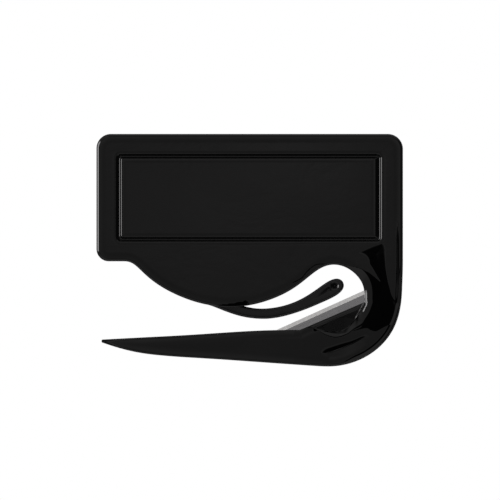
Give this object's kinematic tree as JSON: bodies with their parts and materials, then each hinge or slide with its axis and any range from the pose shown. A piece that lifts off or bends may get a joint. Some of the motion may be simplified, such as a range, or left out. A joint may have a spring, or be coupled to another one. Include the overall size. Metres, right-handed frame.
{
  "type": "hand-held letter slitter",
  "caption": "Flat hand-held letter slitter: card-sized black plastic grip with a hooked pointed fang, a springy guide finger and a concealed steel blade in the throat.",
  "frame": {"origin": "middle of the outline's bounding rectangle, on the flat back face that the slitter lies on", "axes": "+Z out of the front face, +X along the long side towards the hook arm, +Y towards the top edge of the grip; the fang points along -X"},
  "size_m": [0.0826, 0.0626, 0.0032],
  "materials": {
    "shell_plastic": "black injection-moulded polystyrene, high gloss",
    "blade_steel": "hardened steel strip with one ground bevel",
    "finger_plastic": "black injection-moulded polystyrene, gloss"
  },
  "bodies": {
    "body": {"front_shell": "shell_plastic", "rear_shell": "shell_plastic", "blade": "blade_steel"},
    "finger": {"guide_finger": "finger_plastic"}
  },
  "joints": [
    {"name": "finger_flex", "type": "hinge", "parent": "body", "child": "finger", "pos_m": [-0.00504, -0.01545, 0.0009], "axis": [0, 0, 1], "range_deg": [-3.2, 4], "stiffness_Nm_per_rad": 0.6}
  ]
}
